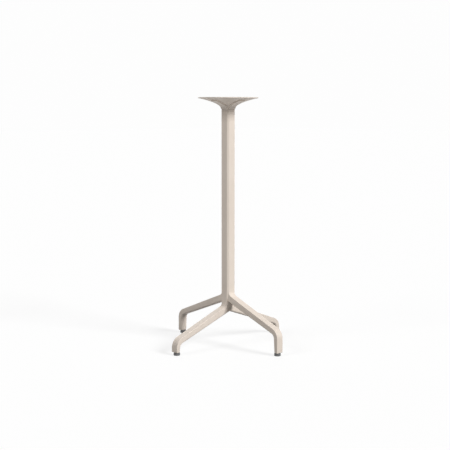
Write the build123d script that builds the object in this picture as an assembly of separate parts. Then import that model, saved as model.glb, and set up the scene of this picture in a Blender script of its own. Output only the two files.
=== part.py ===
from build123d import *
import math
import os

# High table base: a cast four-legged foot, a square column with chamfered
# corners and a cast bell flange for the table top, held together by one tie rod.
# Origin on the floor under the column, +Z up, upper pair of legs along X and
# lower pair along Y. Millimetres.

# Overall
overall_height = 1100.0

# Column, an extruded tube
column_side = 47.0
column_chamfer = 6.3
column_wall = 3.0
column_edge_radius = 0.8
seam_chamfer = 0.5

# Spigots of the two castings inside the column
spigot_length = 40.0
spigot_clearance = 0.25
spigot_lead_in = 2.0

# Base casting
upper_knee_height = 106.3
lower_knee_height = 64.7
upper_leg_slope = 22.0
lower_leg_slope = 20.8
neck_rise = 24.9
runout_top_drop = 24.0
runout_bottom_drop = 60.0
leg_reach = 319.0
leg_width = 34.4
leg_thickness_root = 32.5
leg_thickness_knee = 25.8
foot_depth = 21.0
foot_draft = 3.5
root_radius = 18.0
knee_radius = 47.0
inner_knee_radius = 22.0
arch_radius = 26.0
underside_radius = 9.0
leg_edge_radius = 1.5
foot_edge_chamfer = 0.8
core_side = 27.0
core_floor = 26.0

# Levelling glides, a moulded pad on a screwed stud
glide_inset = 14.0
pad_diameter = 28.0
pad_neck_diameter = 24.7
pad_height = 14.0
pad_neck_height = 3.0
pad_edge_radius = 1.5
pad_floor = 4.0
stud_diameter = 8.0
stud_length = 26.0
stud_running_clearance = 0.05
stud_end_clearance = 2.0
stud_end_chamfer = 0.8
stud_head_diameter = 15.0
stud_head_height = 5.0

# Top flange casting
collar_drop = 60.0
flange_radius = 132.0
rim_thickness = 3.5
rim_slope = 10.5
rim_edge_radius = 1.0
flare_radius = 30.0
bell_radius = 400.0
arm_half_width = 19.0
arm_step = 4.5
arm_reach = 89.0
arm_corner_radius = 8.0
arm_start_drop = 50.0
bell_wall = 5.0
bell_cavity_radius = 110.0
boss_radius = 15.0
rib_thickness = 4.0
screw_circle_radius = 108.0
screw_hole_radius = 3.25
screw_boss_radius = 9.0
screw_seat_radius = 7.5
screw_seat_thickness = 4.5

# Tie rod, nuts and washers
rod_diameter = 10.0
rod_clearance = 0.5
rod_protrusion = 3.0
rod_end_chamfer = 1.0
nut_across_flats = 17.0
nut_height = 8.0
nut_chamfer = 1.2
washer_diameter = 20.0
washer_thickness = 2.0
lock_washer_diameter = 18.0
lock_washer_thickness = 2.4
lock_washer_gap = 2.0
recess_radius = 12.5
top_recess_depth = 18.0
bottom_recess_depth = 34.5

# Derived sizes
half_side = column_side / 2
leg_end_height = pad_height
collar_height = overall_height - collar_drop
upper_crown = upper_knee_height + leg_reach * math.tan(math.radians(upper_leg_slope))
lower_crown = lower_knee_height + leg_reach * math.tan(math.radians(lower_leg_slope))
neck_height = upper_crown + neck_rise
underside_peak = lower_crown - leg_thickness_root / math.cos(math.radians(lower_leg_slope))
glide_circle_radius = leg_reach - glide_inset
rod_bore_radius = rod_diameter / 2 + rod_clearance
stud_bore_radius = stud_diameter / 2 + stud_running_clearance
top_seat_height = overall_height - top_recess_depth
bottom_seat_height = underside_peak + bottom_recess_depth
nut_stack = washer_thickness + lock_washer_thickness


def column_section(inset=0.0, chamfer_growth=0.0):
    """The column's chamfered square, its walls moved inwards by the inset."""
    side = column_side - 2 * inset
    corner = column_chamfer - inset * (2 - math.sqrt(2)) + chamfer_growth
    square = Rectangle(side, side)
    return chamfer(square.vertices(), corner)


def column_prism(bottom, top):
    """A length of the column's section with its long edges just broken."""
    prism = extrude(Pos(0, 0, bottom) * column_section(), top - bottom)
    return fillet(prism.edges().filter_by(Axis.Z), column_edge_radius)


def z_cylinder(radius, bottom, top, x=0.0, y=0.0):
    """An upright cylinder between two heights."""
    return Pos(x, y, (bottom + top) / 2) * Cylinder(radius, top - bottom)


def spigot(bottom, top, lead_in_at_top):
    """The square plug of a casting that enters the column with a small clearance."""
    section = column_section(column_wall + spigot_clearance)
    plug = extrude(Pos(0, 0, bottom) * section, top - bottom)
    end_face = plug.faces().sort_by(Axis.Z)[-1 if lead_in_at_top else 0]
    return chamfer(end_face.edges(), spigot_lead_in)


def leg_and_half_block(crown, slope):
    """The leg along +X with its half of the block under the column."""
    slope_rate = math.tan(math.radians(slope))
    draft_rate = math.tan(math.radians(foot_draft))
    root_thickness = leg_thickness_root / math.cos(math.radians(slope))
    knee_thickness = leg_thickness_knee / math.cos(math.radians(slope))
    root_crossing = crown - half_side * slope_rate
    knee_crossing = crown - leg_reach * slope_rate
    peak = crown - root_thickness

    # The foot's inner side leans in as it rises, and meets the underside at the inner knee
    sole_reach = leg_reach - foot_depth
    foot_rise = crown - knee_thickness - leg_end_height
    inner_reach = (sole_reach - foot_rise * draft_rate) / (1 - slope_rate * draft_rate)
    inner_crossing = crown - inner_reach * slope_rate - knee_thickness
    side_outline = Polyline(
        (-inner_reach, inner_crossing),
        (0, peak),
        (inner_reach, inner_crossing),
        (sole_reach, leg_end_height),
        (leg_reach, leg_end_height),
        (leg_reach, knee_crossing),
        (half_side, root_crossing),
        (half_side, neck_height),
        (-inner_reach, neck_height),
        close=True,
    )
    profile = make_face(Plane.XZ * side_outline)

    def rounded(face, x, z, radius):
        """The face with its corner at this place rounded."""
        corner = face.vertices().sort_by_distance((x, 0, z))[0]
        return fillet(corner, radius)

    profile = rounded(profile, half_side, root_crossing, root_radius)
    profile = rounded(profile, leg_reach, knee_crossing, knee_radius)
    profile = rounded(profile, inner_reach, inner_crossing, inner_knee_radius)
    profile = rounded(profile, 0, peak, arch_radius)
    slab = extrude(profile, leg_width / 2, both=True)
    own_half = extrude(Pos(leg_reach / 2, 0) * Rectangle(leg_reach, 2 * leg_width), neck_height)
    leg = slab & own_half

    # The underside is heavily rounded, the upper edges only just
    long_edges = leg.edges().filter_by(lambda edge: edge.length > leg_reach / 2).sort_by(Axis.Z)
    leg = fillet(long_edges[:2], underside_radius)
    long_edges = leg.edges().filter_by(lambda edge: edge.length > leg_reach / 2).sort_by(Axis.Z)
    leg = fillet(long_edges[-2:], leg_edge_radius)
    sole = leg.faces().sort_by(Axis.Z)[0]
    return chamfer(sole.edges(), foot_edge_chamfer)


def base_casting():
    """The hub, its four legs and the spigot for the column, all in one casting."""
    upper_leg = leg_and_half_block(upper_crown, upper_leg_slope)
    lower_leg = leg_and_half_block(lower_crown, lower_leg_slope)
    casting = column_prism(neck_height - runout_top_drop, neck_height)
    casting = chamfer(casting.faces().sort_by(Axis.Z)[-1].edges(), seam_chamfer)

    # Below the neck the column's chamfers run out to a point between the legs
    runout_growth = column_side - column_chamfer - leg_width
    runout_top = Pos(0, 0, neck_height - runout_top_drop) * column_section()
    runout_bottom = Pos(0, 0, neck_height - runout_bottom_drop) * column_section(0.0, runout_growth)
    casting += loft([runout_bottom, runout_top], ruled=True)

    for turn, leg in ((0, upper_leg), (180, upper_leg), (90, lower_leg), (270, lower_leg)):
        casting += Rot(0, 0, turn) * leg
    casting += spigot(neck_height, neck_height + spigot_length, lead_in_at_top=True)

    # A square core lightens the spigot and neck, and the tie rod passes through the floor
    core_bottom = bottom_seat_height + core_floor
    core = Rectangle(core_side, core_side)
    core = fillet(core.vertices(), core_side / 8)
    casting -= extrude(Pos(0, 0, core_bottom) * core, neck_height + spigot_length - core_bottom)
    casting -= z_cylinder(rod_bore_radius, 0, core_bottom)
    casting -= z_cylinder(recess_radius, 0, bottom_seat_height)

    # Each leg's end is drilled and tapped for its glide
    bore_top = leg_end_height + stud_length + stud_end_clearance
    for turn in (0, 90, 180, 270):
        casting -= Rot(0, 0, turn) * z_cylinder(stud_bore_radius, 0, bore_top, glide_circle_radius)
    return casting


def column_tube():
    """The extruded column between the two castings."""
    tube = column_prism(neck_height, collar_height)
    tube = chamfer(tube.faces().sort_by(Axis.Z)[-1].edges(), seam_chamfer)
    tube = chamfer(tube.faces().sort_by(Axis.Z)[0].edges(), seam_chamfer)
    return tube - extrude(
        Pos(0, 0, neck_height) * column_section(column_wall),
        collar_height - neck_height,
    )


# The bell's profile is one curve: a tight flare off the column that opens into a
# wide shallow arc. Its centres serve every surface that runs parallel to it.
web_side = half_side - arm_step
rim_reach = flange_radius - arm_half_width * (math.sqrt(2) - 1)
rim_sine = math.sin(math.radians(rim_slope))
join_sine = (rim_reach - web_side - flare_radius + bell_radius * rim_sine) / (bell_radius - flare_radius)
join_cosine = math.sqrt(1 - join_sine ** 2)
rim_cosine = math.cos(math.radians(rim_slope))
flare_depth = rim_thickness + bell_radius * (rim_cosine - join_cosine) + flare_radius * join_cosine
flare_centre_r = web_side + flare_radius
flare_centre_z = overall_height - flare_depth
bell_centre_r = flare_centre_r + (bell_radius - flare_radius) * join_sine
bell_centre_z = flare_centre_z - (bell_radius - flare_radius) * join_cosine


def bell_profile(offset, reach, axis_shift=0.0):
    """Half the bell's section in the XZ plane, its surface this far outside the web's."""
    flare = flare_radius - offset
    bell = bell_radius - offset
    start = (flare_centre_r - flare - axis_shift, flare_centre_z)
    middle_angle = (math.pi / 2 + math.asin(join_sine)) / 2
    flare_middle = (
        flare_centre_r - flare * math.sin(middle_angle) - axis_shift,
        flare_centre_z + flare * math.cos(middle_angle),
    )
    join = (
        flare_centre_r - flare * join_sine - axis_shift,
        flare_centre_z + flare * join_cosine,
    )
    end_sine = (bell_centre_r - reach) / bell
    end_angle = math.asin(end_sine)
    bell_angle = (math.asin(join_sine) + end_angle) / 2
    bell_middle = (
        bell_centre_r - bell * math.sin(bell_angle) - axis_shift,
        bell_centre_z + bell * math.cos(bell_angle),
    )
    end = (reach - axis_shift, bell_centre_z + bell * math.cos(end_angle))
    inside = start[0] - flare_radius
    edges = [
        ThreePointArc(start, flare_middle, join),
        ThreePointArc(join, bell_middle, end),
        Line(end, (end[0], overall_height)),
        Line((end[0], overall_height), (inside, overall_height)),
        Line((inside, overall_height), (inside, flare_centre_z)),
        Line((inside, flare_centre_z), start),
    ]
    outer_half = Pos(flange_radius, overall_height) * Rectangle(2 * flange_radius, 2 * overall_height)
    return make_face(Plane.XZ * Wire(edges)) & (Plane.XZ * outer_half)


def bell_web():
    """The bell between the arms: one flare carried round a square with rounded corners."""
    half_face = bell_profile(0.0, flange_radius)
    bar = extrude(half_face + half_face.mirror(Plane.YZ), arm_half_width, both=True)
    web = bar + Rot(0, 0, 90) * bar
    corner_horn = revolve(bell_profile(0.0, flange_radius, arm_half_width), Axis.Z)
    for turn in (0, 90, 180, 270):
        web += Rot(0, 0, turn) * Pos(arm_half_width, arm_half_width, 0) * corner_horn
    return web & z_cylinder(flange_radius, collar_height, overall_height)


def bell_arm_bar():
    """Two opposite arms, whose faces carry on from the column's faces."""
    half_face = bell_profile(arm_step, flange_radius)
    bar = extrude(half_face + half_face.mirror(Plane.YZ), arm_half_width, both=True)
    plan = RectangleRounded(2 * arm_reach, 2 * arm_half_width, arm_corner_radius)
    return bar & extrude(Pos(0, 0, overall_height - arm_start_drop) * plan, arm_start_drop)


def bell_cavity():
    """The hollow that lightens the bell from above, with its boss, ribs and screw bosses left."""
    hollow = revolve(bell_profile(-bell_wall, bell_cavity_radius), Axis.Z)
    hollow -= z_cylinder(boss_radius, collar_height, overall_height)
    rib = Box(2 * flange_radius, rib_thickness, collar_drop)
    rib_middle = overall_height - collar_drop / 2
    for turn in (0, 45, 90, 135):
        hollow -= Pos(0, 0, rib_middle) * Rot(0, 0, turn) * rib
    for turn in (0, 90, 180, 270):
        boss = z_cylinder(screw_boss_radius, collar_height, overall_height, screw_circle_radius)
        hollow -= Rot(0, 0, turn) * boss
    return hollow


def flange_casting():
    """The bell flange that the table top is screwed to, in one casting."""
    flange = bell_web()
    disc = z_cylinder(flange_radius, overall_height - rim_thickness, overall_height)
    flange += fillet(disc.edges().sort_by(Axis.Z)[0], rim_edge_radius)
    arm_bar = bell_arm_bar()
    flange += arm_bar
    flange += Rot(0, 0, 90) * arm_bar
    collar = column_prism(collar_height, overall_height - rim_thickness)
    flange += chamfer(collar.faces().sort_by(Axis.Z)[0].edges(), seam_chamfer)
    flange -= bell_cavity()
    flange += spigot(collar_height - spigot_length, collar_height, lead_in_at_top=False)

    # The spigot is cored from below as the base's is from above
    core_top = top_seat_height - core_floor
    core = Rectangle(core_side, core_side)
    core = fillet(core.vertices(), core_side / 8)
    core_bottom = collar_height - spigot_length
    flange -= extrude(Pos(0, 0, core_bottom) * core, core_top - core_bottom)
    flange -= z_cylinder(rod_bore_radius, core_top, overall_height)
    flange -= z_cylinder(recess_radius, top_seat_height, overall_height)

    # Screw holes for the table top, with a flat seat for each head on the underside
    for turn in (0, 90, 180, 270):
        hole = z_cylinder(screw_hole_radius, collar_height, overall_height, screw_circle_radius)
        seat_top = overall_height - screw_seat_thickness
        seat = z_cylinder(screw_seat_radius, collar_height, seat_top, screw_circle_radius)
        flange -= Rot(0, 0, turn) * (hole + seat)
    return flange


def tie_rod():
    """The rod that draws the two castings onto the column, threaded at both ends."""
    bottom = bottom_seat_height - nut_stack - nut_height - rod_protrusion
    top = top_seat_height + nut_stack + nut_height + rod_protrusion
    rod = z_cylinder(rod_diameter / 2, bottom, top)
    return chamfer(rod.edges().filter_by(GeomType.CIRCLE), rod_end_chamfer)


def hex_nut():
    """A hexagon nut on the rod, seated on the XY plane, its corners turned off at both faces."""
    nut = extrude(RegularPolygon(nut_across_flats / 2, 6, major_radius=False), nut_height)
    corner_radius = nut_across_flats / math.sqrt(3)
    turned = z_cylinder(corner_radius, 0, nut_height)
    turned = chamfer(turned.edges().filter_by(GeomType.CIRCLE), nut_chamfer / 2, nut_chamfer)
    nut &= turned
    return nut - z_cylinder(rod_diameter / 2, 0, nut_height)


def flat_washer():
    """A plain washer seated on the XY plane."""
    washer = z_cylinder(washer_diameter / 2, 0, washer_thickness)
    return washer - z_cylinder(rod_bore_radius, 0, washer_thickness)


def lock_washer():
    """A split spring washer, flattened by the nut, seated on the XY plane."""
    ring = z_cylinder(lock_washer_diameter / 2, 0, lock_washer_thickness)
    ring -= z_cylinder(rod_bore_radius, 0, lock_washer_thickness)
    split = Rot(0, 20, 0) * Box(lock_washer_gap, lock_washer_diameter, 4 * lock_washer_thickness)
    return ring - Pos(0, lock_washer_diameter / 2, lock_washer_thickness / 2) * split


def glide_stud():
    """The screw of a glide, its round head buried in the pad."""
    head_bottom = pad_floor
    head_top = head_bottom + stud_head_height
    head = z_cylinder(stud_head_diameter / 2, head_bottom, head_top)
    shank = z_cylinder(stud_diameter / 2, head_top, leg_end_height + stud_length)
    shank = chamfer(shank.edges().sort_by(Axis.Z)[-1], stud_end_chamfer)
    return head + shank


def glide_pad(stud):
    """The moulded pad of a glide, a foot with a slimmer collar, moulded round the stud."""
    foot_height = pad_height - pad_neck_height
    foot = z_cylinder(pad_diameter / 2, 0, foot_height)
    foot = fillet(foot.edges().filter_by(GeomType.CIRCLE), pad_edge_radius)
    neck = z_cylinder(pad_neck_diameter / 2, foot_height - pad_edge_radius, pad_height)
    return foot + neck - stud


stud = glide_stud()
pad = glide_pad(stud)
washer_up = top_seat_height
lock_up = washer_up + washer_thickness
nut_up = lock_up + lock_washer_thickness
washer_down = bottom_seat_height - washer_thickness
lock_down = washer_down - lock_washer_thickness
nut_down = lock_down - nut_height

parts = {
    "base_casting": base_casting(),
    "column_tube": column_tube(),
    "flange_casting": flange_casting(),
    "tie_rod": tie_rod(),
    "tie_rod_nut_top": Pos(0, 0, nut_up) * hex_nut(),
    "tie_rod_lock_washer_top": Pos(0, 0, lock_up) * lock_washer(),
    "tie_rod_washer_top": Pos(0, 0, washer_up) * flat_washer(),
    "tie_rod_washer_bottom": Pos(0, 0, washer_down) * flat_washer(),
    "tie_rod_lock_washer_bottom": Pos(0, 0, lock_down) * lock_washer(),
    "tie_rod_nut_bottom": Pos(0, 0, nut_down) * hex_nut(),
}
leg_turns = {"front_right": 0, "back_right": 90, "back_left": 180, "front_left": 270}
for leg_name, turn in leg_turns.items():
    place = Rot(0, 0, turn) * Pos(glide_circle_radius, 0, 0)
    parts[f"glide_pad_{leg_name}"] = place * pad
    parts[f"glide_stud_{leg_name}"] = place * stud

os.makedirs("parts", exist_ok=True)
for name, solid in parts.items():
    export_step(solid, f"parts/{name}.step")
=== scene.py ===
import math

import bpy
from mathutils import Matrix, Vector


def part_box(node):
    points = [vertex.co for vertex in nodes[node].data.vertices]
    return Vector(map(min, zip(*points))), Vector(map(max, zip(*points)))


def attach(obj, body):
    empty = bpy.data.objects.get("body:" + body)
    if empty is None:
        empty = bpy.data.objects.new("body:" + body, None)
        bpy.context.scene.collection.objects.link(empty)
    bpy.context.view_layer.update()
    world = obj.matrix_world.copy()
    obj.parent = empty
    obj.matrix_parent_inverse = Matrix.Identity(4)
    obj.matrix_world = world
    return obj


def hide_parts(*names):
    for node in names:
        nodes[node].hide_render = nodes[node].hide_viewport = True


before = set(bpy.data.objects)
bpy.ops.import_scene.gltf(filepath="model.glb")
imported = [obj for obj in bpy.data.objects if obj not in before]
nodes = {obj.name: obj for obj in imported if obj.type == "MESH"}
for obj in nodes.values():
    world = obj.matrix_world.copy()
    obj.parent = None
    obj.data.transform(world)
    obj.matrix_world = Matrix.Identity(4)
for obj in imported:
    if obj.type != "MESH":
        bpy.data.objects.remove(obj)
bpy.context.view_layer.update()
bpy.ops.object.select_all(action="DESELECT")

# Base casting: the hub and its four sloping legs, one aluminium casting. It is blasted
# and powder coated in a warm sand, a matt coat with a fine grain and a little orange peel.
coat_tones = {0.35: (0.715, 0.628, 0.548, 1.0), 0.62: (0.755, 0.668, 0.588, 1.0)}
coat_ior = 1.5
coat_roughness = (0.46, 0.60)
coat_grain = {"size": 0.0008, "detail": 3.0, "strength": 1.0, "height": 0.0001}
coat_peel = {"size": 0.004, "detail": 1.0, "strength": 0.8, "height": 0.00008}
coat_cloud = {"size": 0.09, "detail": 2.0}
coat_speckle = 0.4


def new_finish(name):
    """A material, its node tree, its shader and the place on the piece that its patterns read."""
    material = bpy.data.materials.new(name)
    material.use_nodes = True
    tree = material.node_tree
    place = tree.nodes.new("ShaderNodeTexCoord").outputs["Object"]
    return material, tree, tree.nodes["Principled BSDF"], place


def mottle(tree, place, pattern):
    """Blotches from 0 to 1, about as wide as the pattern's size in metres."""
    noise = tree.nodes.new("ShaderNodeTexNoise")
    noise.inputs["Scale"].default_value = 1 / pattern["size"]
    noise.inputs["Detail"].default_value = pattern["detail"]
    tree.links.new(place, noise.inputs["Vector"])
    return noise.outputs["Fac"]


def tint(tree, shader, blotches, tones):
    """Colours the surface with one tone where the blotches are low and the other where high."""
    ramp = tree.nodes.new("ShaderNodeValToRGB")
    for element, (level, tone) in zip(ramp.color_ramp.elements, tones.items()):
        element.position = level
        element.color = tone
    tree.links.new(blotches, ramp.inputs["Fac"])
    tree.links.new(ramp.outputs["Color"], shader.inputs["Base Color"])


def dull(tree, shader, blotches, roughness):
    """Lets the roughness follow the blotches between its two values."""
    least, most = roughness
    spread = tree.nodes.new("ShaderNodeMapRange")
    spread.inputs["To Min"].default_value = least
    spread.inputs["To Max"].default_value = most
    tree.links.new(blotches, spread.inputs["Value"])
    tree.links.new(spread.outputs["Result"], shader.inputs["Roughness"])


def emboss(tree, blotches, pattern, under=None):
    """The surface raised by the blotches, on top of what is raised under them."""
    bump = tree.nodes.new("ShaderNodeBump")
    bump.inputs["Strength"].default_value = pattern["strength"]
    bump.inputs["Distance"].default_value = pattern["height"]
    tree.links.new(blotches, bump.inputs["Height"])
    if under:
        tree.links.new(under, bump.inputs["Normal"])
    return bump.outputs["Normal"]


def powder_coat():
    """The coat: pigment grain and cloudiness in the colour, grain and peel in the surface."""
    material, tree, shader, place = new_finish("powder_coat")
    shader.inputs["IOR"].default_value = coat_ior
    grain = mottle(tree, place, coat_grain)
    peel = mottle(tree, place, coat_peel)
    cloud = mottle(tree, place, coat_cloud)

    # The colour wanders with the cloud and carries the grain as a faint speckle
    blend = tree.nodes.new("ShaderNodeMix")
    blend.data_type = "FLOAT"
    blend.inputs["Factor"].default_value = coat_speckle
    tree.links.new(cloud, blend.inputs["A"])
    tree.links.new(grain, blend.inputs["B"])
    tint(tree, shader, blend.outputs["Result"], coat_tones)
    dull(tree, shader, grain, coat_roughness)
    peeled = emboss(tree, peel, coat_peel)
    tree.links.new(emboss(tree, grain, coat_grain, under=peeled), shader.inputs["Normal"])
    return material


coat = powder_coat()
nodes["base_casting"].material_slots[0].material = coat

# Column: an extruded aluminium tube, square with chamfered corners, cut to length and
# slipped over the spigots of the two castings. It has the same coat.
nodes["column_tube"].material_slots[0].material = coat

# Bell flange: an aluminium casting with a thin rim, four arms below and ribs inside the
# bell above, where the table top covers them. It has the same coat.
nodes["flange_casting"].material_slots[0].material = coat

# Nuts and washers: a nut, a spring washer and a plain washer of steel at each end of the
# tie rod, bright zinc plated and clear passivated. They draw the castings together.
zinc_tones = {0.35: (0.60, 0.62, 0.64, 1.0), 0.65: (0.66, 0.65, 0.61, 1.0)}
zinc_roughness = (0.28, 0.42)
zinc_bloom = {"size": 0.004, "detail": 3.0}
zinc_marks = {"size": 0.0004, "detail": 2.0, "strength": 0.4, "height": 0.00001}


def zinc_plate():
    """The plating: a faint bloom of two tones and fine marks from drawing and rolling."""
    material, tree, shader, place = new_finish("zinc_plate")
    shader.inputs["Metallic"].default_value = 1.0
    bloom = mottle(tree, place, zinc_bloom)
    marks = mottle(tree, place, zinc_marks)
    tint(tree, shader, bloom, zinc_tones)
    dull(tree, shader, bloom, zinc_roughness)
    tree.links.new(emboss(tree, marks, zinc_marks), shader.inputs["Normal"])
    return material


zinc = zinc_plate()
for name, node in nodes.items():
    if name.startswith("tie_rod"):
        node.material_slots[0].material = zinc

# Tie rod: a round steel bar, zinc plated, with an M10 x 1.5 thread rolled on a length at
# each end. Crests and roots are flat, and the ends are chamfered to lead the nuts on.
rod_pitch = 0.0015
rod_thread_length = 0.045
rod_end_chamfer = 0.001
thread_allowance = 0.00006
flank_angle = 30.0
smooth_angle = 25.0
turn_steps = 48
spare_turns = 3

# Shares of a thread's pitch
crest_share = 1 / 8
root_share = 1 / 4
overlap_share = 1 / 2
weld_share = 1e-3
cut_share = 1e-5

# Share of a bar's radius within which a face is still at its end
end_share = 1e-3


def select_only(piece):
    """Makes the piece the one that the next operators act on."""
    bpy.ops.object.select_all(action="DESELECT")
    piece.select_set(True)
    bpy.context.view_layer.objects.active = piece


def cut_with(piece, tool, operation):
    """The piece joined with, or limited to, another closed shape that is then gone."""
    boolean = piece.modifiers.new("boolean", "BOOLEAN")
    boolean.operation = operation
    boolean.solver = "EXACT"
    boolean.object = tool
    bpy.context.view_layer.objects.active = piece
    bpy.ops.object.modifier_apply(modifier=boolean.name)
    bpy.data.objects.remove(tool, do_unlink=True)


def round_bar(radius, bottom, top, top_chamfer=0.0, bottom_chamfer=0.0):
    """A turned bar on the Z axis with the rims of its ends chamfered."""
    bpy.ops.object.select_all(action="DESELECT")
    bpy.ops.mesh.primitive_cylinder_add(
        vertices=2 * turn_steps, radius=radius, depth=top - bottom, location=(0, 0, (bottom + top) / 2)
    )
    bar = bpy.context.object
    bpy.ops.object.transform_apply(location=True)
    for end, width in ((top, top_chamfer), (bottom, bottom_chamfer)):
        if width:
            bpy.ops.object.mode_set(mode="EDIT")
            bpy.ops.mesh.select_all(action="DESELECT")
            bpy.ops.object.mode_set(mode="OBJECT")
            for face in bar.data.polygons:
                face.select = abs(face.center.z - end) < radius * end_share
            bpy.ops.object.mode_set(mode="EDIT")
            bpy.ops.mesh.select_mode(type="FACE")
            bpy.ops.mesh.bevel(offset=width, segments=1, affect="EDGES")
            bpy.ops.object.mode_set(mode="OBJECT")
    return bar


def threaded_bar(diameter, pitch, bottom, top, end_chamfer):
    """A right-hand thread on the Z axis, cut flat below and chamfered at its upper end."""
    crest = diameter / 2 - thread_allowance
    flank = pitch * (1 - crest_share - root_share) / 2
    depth = flank / math.tan(math.radians(flank_angle))
    turns = math.ceil((top - bottom) / pitch) + 1
    half_step = pitch / turn_steps / 2
    start = bottom - pitch - half_step

    # One pitch of the profile is drawn from the root outwards and screwed upwards, from a
    # turn and half a step below the bottom, so that no corner lies where an end is cut
    bpy.ops.object.select_all(action="DESELECT")
    bpy.ops.mesh.primitive_plane_add(size=depth, location=(crest - depth, 0, start))
    thread = bpy.context.object
    bpy.ops.object.transform_apply(location=True)
    bpy.ops.object.mode_set(mode="EDIT")
    bpy.ops.mesh.select_mode(type="VERT")
    bpy.ops.mesh.merge(type="CENTER")
    for out, up in ((0, pitch * root_share), (depth, flank), (0, pitch * crest_share), (-depth, flank)):
        bpy.ops.mesh.extrude_region_move(TRANSFORM_OT_translate={"value": (out, 0, up)})
    bpy.ops.object.mode_set(mode="OBJECT")
    screw = thread.modifiers.new("screw", "SCREW")
    screw.screw_offset = pitch
    screw.iterations = turns + spare_turns
    screw.steps = turn_steps
    screw.render_steps = turn_steps
    bpy.ops.object.modifier_apply(modifier=screw.name)

    # The turns are joined to each other, and both ends are cut flat
    bpy.ops.object.mode_set(mode="EDIT")
    for height, below in ((bottom, True), (bottom + turns * pitch, False)):
        bpy.ops.mesh.select_all(action="SELECT")
        bpy.ops.mesh.remove_doubles(threshold=pitch * weld_share)
        bpy.ops.mesh.bisect(
            plane_co=(0, 0, height), plane_no=(0, 0, 1), use_fill=True,
            clear_inner=below, clear_outer=not below, threshold=pitch * cut_share,
        )
    bpy.ops.mesh.select_all(action="SELECT")
    bpy.ops.mesh.normals_make_consistent(inside=False)
    bpy.ops.object.mode_set(mode="OBJECT")
    cut_with(thread, round_bar(diameter / 2, bottom - pitch, top, top_chamfer=end_chamfer), "INTERSECT")
    return thread


def finish_steel(piece, name, node, body):
    """Names a steel piece, smooths it and puts it in its CAD node's place."""
    select_only(piece)
    bpy.ops.object.shade_smooth_by_angle(angle=math.radians(smooth_angle))
    piece.name = name
    piece.data.materials.clear()
    piece.data.materials.append(zinc)
    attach(piece, body)
    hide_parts(node)


rod_low, rod_high = (Vector(corner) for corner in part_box("tie_rod"))
rod_diameter = rod_high.x - rod_low.x
thread_reach = rod_thread_length + rod_pitch * overlap_share
rod = round_bar(rod_diameter / 2, rod_low.z + rod_thread_length, rod_high.z - rod_thread_length)
upper_thread = threaded_bar(
    rod_diameter, rod_pitch, rod_high.z - thread_reach, rod_high.z, rod_end_chamfer
)
cut_with(rod, upper_thread, "UNION")

# The lower thread is made upside down and turned over
lower_thread = threaded_bar(
    rod_diameter, rod_pitch, -rod_low.z - thread_reach, -rod_low.z, rod_end_chamfer
)
lower_thread.rotation_euler.x = math.pi
select_only(lower_thread)
bpy.ops.object.transform_apply(rotation=True)
cut_with(rod, lower_thread, "UNION")
finish_steel(rod, "threaded_tie_rod", "tie_rod", "base")

# Glide studs: M8 x 1.25 steel bolts with a round head that the pad is moulded round,
# zinc plated. Each screws up into its leg, and turning it sets the glide's height.
stud_diameter = 0.008
stud_pitch = 0.00125
stud_end_chamfer = 0.0008
stud_head_height = 0.005
stud_head_chamfer = 0.0005
stud_plain_length = 0.0015

for leg in ("front_right", "back_right", "back_left", "front_left"):
    stud_low, stud_high = (Vector(corner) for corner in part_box(f"glide_stud_{leg}"))
    head_radius = (stud_high.x - stud_low.x) / 2
    head_top = stud_low.z + stud_head_height
    plain_top = head_top + stud_plain_length
    stud = round_bar(head_radius, stud_low.z, head_top, stud_head_chamfer, stud_head_chamfer)
    cut_with(stud, round_bar(stud_diameter / 2, head_top - stud_head_chamfer, plain_top), "UNION")
    thread_bottom = plain_top - stud_pitch * overlap_share
    thread = threaded_bar(stud_diameter, stud_pitch, thread_bottom, stud_high.z, stud_end_chamfer)
    cut_with(stud, thread, "UNION")
    stud.location = ((stud_low.x + stud_high.x) / 2, (stud_low.y + stud_high.y) / 2, 0)
    select_only(stud)
    bpy.ops.object.transform_apply(location=True)
    finish_steel(stud, f"threaded_stud_{leg}", f"glide_stud_{leg}", f"glide_{leg}")

# Glide pads: moulded in dark grey nylon round the head of each stud, with the dull
# skin of a spark-eroded mould.
nylon_tones = {0.3: (0.140, 0.140, 0.143, 1.0), 0.7: (0.180, 0.180, 0.182, 1.0)}
nylon_roughness = (0.50, 0.65)
nylon_skin = {"size": 0.0005, "detail": 3.0, "strength": 0.5, "height": 0.00003}


def grey_nylon():
    """The pads' nylon: an even dark grey with a fine mould skin."""
    material, tree, shader, place = new_finish("grey_nylon")
    skin = mottle(tree, place, nylon_skin)
    tint(tree, shader, skin, nylon_tones)
    dull(tree, shader, skin, nylon_roughness)
    tree.links.new(emboss(tree, skin, nylon_skin), shader.inputs["Normal"])
    return material


nylon = grey_nylon()
for name, node in nodes.items():
    if name.startswith("glide_pad"):
        node.material_slots[0].material = nylon

# Studio: a wide white floor that runs on into an even white surround. It throws light
# back up at the object from a colour that is darker close under the legs and far away,
# which is painted shade for the legs' lower faces and the column's top under the bell,
# and shows the camera a lifted tone in which the object's soft shadow stays.
floor_size = 80.0
floor_bounce_painted_shade = {0.35: 0.26, 0.90: 0.68, 2.50: 0.68, 4.50: 0.40}
bounce_range = 5.0
floor_shadow_share = 0.24
floor_lift = 0.779
surround_white = 0.985
surround_light = 0.03


def show_directly(tree, lighting, shown, surface):
    """Shows one shader to camera, glossy and transmission rays and lights with the other."""
    path = tree.nodes.new("ShaderNodeLightPath")
    directly = path.outputs["Is Camera Ray"]
    for ray in ("Is Glossy Ray", "Is Transmission Ray"):
        either = tree.nodes.new("ShaderNodeMath")
        either.operation = "MAXIMUM"
        tree.links.new(directly, either.inputs[0])
        tree.links.new(path.outputs[ray], either.inputs[1])
        directly = either.outputs["Value"]
    choose = tree.nodes.new("ShaderNodeMixShader")
    tree.links.new(directly, choose.inputs["Fac"])
    tree.links.new(lighting, choose.inputs[1])
    tree.links.new(shown, choose.inputs[2])
    tree.links.new(choose.outputs["Shader"], surface)


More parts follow.
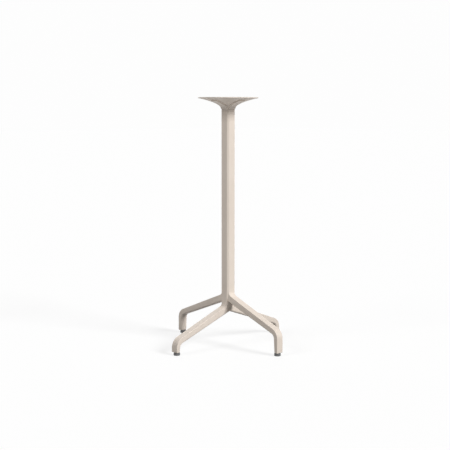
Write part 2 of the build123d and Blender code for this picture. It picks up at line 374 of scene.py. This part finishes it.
bpy.ops.mesh.primitive_plane_add(size=floor_size, location=(0, 0, 0))
floor = bpy.context.object
floor.name = "floor"

floor_white, tree, shader, place = new_finish("floor_white")
tree.nodes.remove(shader)
from_column = tree.nodes.new("ShaderNodeVectorMath")
from_column.operation = "LENGTH"
tree.links.new(place, from_column.inputs[0])
part_of_range = tree.nodes.new("ShaderNodeMath")
part_of_range.operation = "DIVIDE"
part_of_range.inputs[1].default_value = bounce_range
tree.links.new(from_column.outputs["Value"], part_of_range.inputs[0])
# The colour that throws light back is painted shade: darker close under the legs and far away
painted_shade_ramp = tree.nodes.new("ShaderNodeValToRGB")
steps = painted_shade_ramp.color_ramp.elements
while len(steps) < len(floor_bounce_painted_shade):
    steps.new(1.0)
for step, (radius, share) in zip(steps, floor_bounce_painted_shade.items()):
    step.position = radius / bounce_range
    step.color = (share, share, share, 1.0)
tree.links.new(part_of_range.outputs["Value"], painted_shade_ramp.inputs["Fac"])
bounce = tree.nodes.new("ShaderNodeBsdfDiffuse")
tree.links.new(painted_shade_ramp.outputs["Color"], bounce.inputs["Color"])

shadowed = tree.nodes.new("ShaderNodeBsdfDiffuse")
shadowed.inputs["Color"].default_value = (floor_shadow_share, floor_shadow_share, floor_shadow_share, 1.0)
lift = tree.nodes.new("ShaderNodeEmission")
lift.inputs["Strength"].default_value = floor_lift
lifted = tree.nodes.new("ShaderNodeAddShader")
tree.links.new(shadowed.outputs["BSDF"], lifted.inputs[0])
tree.links.new(lift.outputs["Emission"], lifted.inputs[1])
floor_surface = tree.nodes["Material Output"].inputs["Surface"]
show_directly(tree, bounce.outputs["BSDF"], lifted.outputs["Shader"], floor_surface)
floor.data.materials.append(floor_white)

studio = bpy.data.worlds.new("studio")
bpy.context.scene.world = studio
studio.use_nodes = True
tree = studio.node_tree
glow = tree.nodes["Background"]
glow.inputs["Color"].default_value = (1.0, 1.0, 1.0, 1.0)
glow.inputs["Strength"].default_value = surround_light
white = tree.nodes.new("ShaderNodeBackground")
white.inputs["Color"].default_value = (1.0, 1.0, 1.0, 1.0)
white.inputs["Strength"].default_value = surround_white
studio_surface = tree.nodes["World Output"].inputs["Surface"]
show_directly(tree, glow.outputs["Background"], white.outputs["Background"], studio_surface)

# Lights: one large soft light from the right, level enough to leave the bell's shade on
# the top of the column, a weaker one from the left and the weakest from behind.
lights = {
    "key_light": {"bearing": 12.0, "height": 34.0, "strength": 3.0, "softness": 20.0},
    "fill_light": {"bearing": -100.0, "height": 35.0, "strength": 1.1, "softness": 25.0},
    "back_light": {"bearing": 150.0, "height": 35.0, "strength": 0.60, "softness": 60.0},
}
light_distance = 4.0

for name, light in lights.items():
    bearing = math.radians(light["bearing"])
    height = math.radians(light["height"])
    level = math.cos(height)
    towards = Vector((math.cos(bearing) * level, math.sin(bearing) * level, math.sin(height)))
    bpy.ops.object.light_add(type="SUN", location=towards * light_distance)
    lamp = bpy.context.object
    lamp.name = name
    lamp.data.energy = light["strength"]
    lamp.data.angle = math.radians(light["softness"])
    lamp.rotation_euler = (0.0, math.radians(90.0) - height, bearing)

# Camera: just below the flange's height and 4.3 m off, at the photograph's viewing angle.
# Its pitch and its small turn off the column put the column where the photograph has it.
image_width = 450
sensor_width = 36.0
focal_px = 975.66
column_axis_px = 228.11
camera_bearing = 46.072
camera_distance = 4.3044
camera_height = 1.0427
camera_pitch = 6.691

bearing = math.radians(camera_bearing)
turn_off_axis = math.atan((column_axis_px - image_width / 2) / focal_px)
bpy.ops.object.camera_add(
    location=(camera_distance * math.sin(bearing), -camera_distance * math.cos(bearing), camera_height),
    rotation=(math.radians(90.0 - camera_pitch), 0.0, bearing + turn_off_axis),
)
camera = bpy.context.object
camera.data.sensor_width = sensor_width
camera.data.lens = focal_px / image_width * sensor_width
bpy.context.scene.camera = camera
bpy.context.scene.view_settings.view_transform = "Standard"
